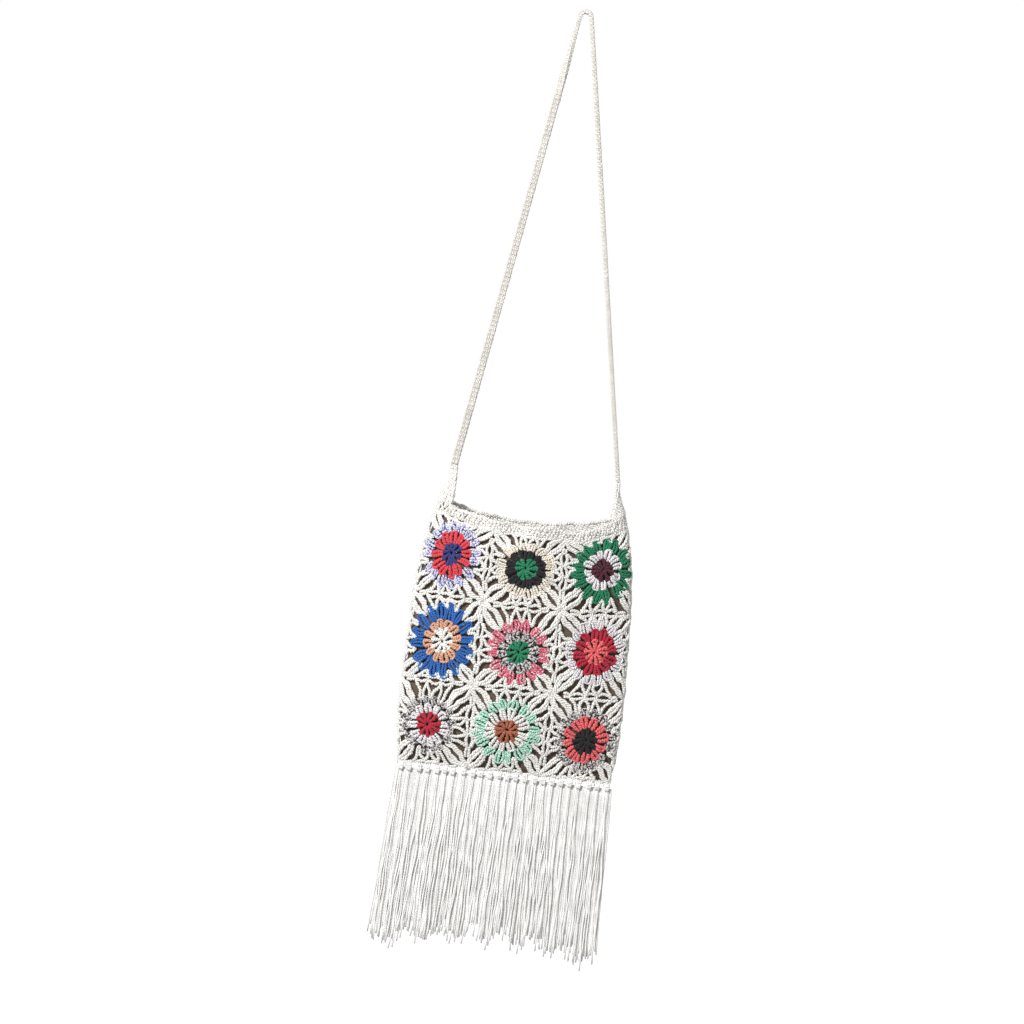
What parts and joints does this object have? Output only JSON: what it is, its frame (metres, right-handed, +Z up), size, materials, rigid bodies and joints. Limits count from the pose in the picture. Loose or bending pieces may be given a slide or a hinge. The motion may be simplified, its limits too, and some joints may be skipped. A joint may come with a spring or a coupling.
{
  "type": "crochet shoulder bag",
  "caption": "Crocheted shoulder bag of lace squares with coloured motifs, a brown lining, a narrow strap and a long fringe, shown hanging from its strap.",
  "frame": {"origin": "inside of the strap's top bend, where the bag hangs", "axes": "+Z up, -Y towards the front with the coloured rounds, +X to the right as seen from the front"},
  "size_m": [0.2248, 0.0668, 0.9458],
  "materials": {
    "white_yarn": "matte",
    "strap_yarn": "matte",
    "fringe_yarn": "matte",
    "lining_cloth": "matte",
    "navy_yarn": "matte",
    "red_yarn": "matte",
    "lavender_yarn": "matte",
    "green_yarn": "matte",
    "black_yarn": "matte",
    "cream_yarn": "matte",
    "burgundy_yarn": "matte",
    "blue_yarn": "matte",
    "peach_yarn": "matte",
    "gray_yarn": "matte",
    "pink_yarn": "matte",
    "coral_yarn": "matte",
    "crimson_yarn": "matte",
    "soft_white_yarn": "matte",
    "rust_yarn": "matte",
    "mint_yarn": "matte"
  },
  "bodies": {
    "root": {"square_1_1_center": "navy_yarn", "square_1_1_middle": "red_yarn", "square_1_1_outer": "lavender_yarn", "square_1_2_center": "green_yarn", "square_1_2_middle": "black_yarn", "square_1_2_outer": "cream_yarn", "square_1_3_center": "burgundy_yarn", "square_1_3_middle": "soft_white_yarn", "square_1_3_outer": "green_yarn", "square_2_1_center": "white_yarn", "square_2_1_middle": "peach_yarn", "square_2_1_outer": "blue_yarn", "square_2_2_center": "green_yarn", "square_2_2_middle": "gray_yarn", "square_2_2_outer": "pink_yarn", "square_2_3_center": "coral_yarn", "square_2_3_middle": "crimson_yarn", "square_2_3_outer": "soft_white_yarn", "square_3_1_center": "crimson_yarn", "square_3_1_middle": "soft_white_yarn", "square_3_1_outer": "gray_yarn", "square_3_2_center": "rust_yarn", "square_3_2_middle": "white_yarn", "square_3_2_outer": "mint_yarn", "square_3_3_center": "black_yarn", "square_3_3_middle": "coral_yarn", "square_3_3_outer": "gray_yarn", "back_square_1_1": "green_yarn", "back_square_1_2": "blue_yarn", "back_square_1_3": "pink_yarn", "back_square_2_1": "blue_yarn", "back_square_2_2": "pink_yarn", "back_square_2_3": "green_yarn", "back_square_3_1": "pink_yarn", "back_square_3_2": "green_yarn", "back_square_3_3": "blue_yarn", "front_lace": "white_yarn", "back_lace": "white_yarn", "rim_band": "white_yarn", "lining": "lining_cloth", "strap": "strap_yarn", "left_strap_tab": "white_yarn", "right_strap_tab": "white_yarn", "fringe": "fringe_yarn"}
  },
  "joints": []
}
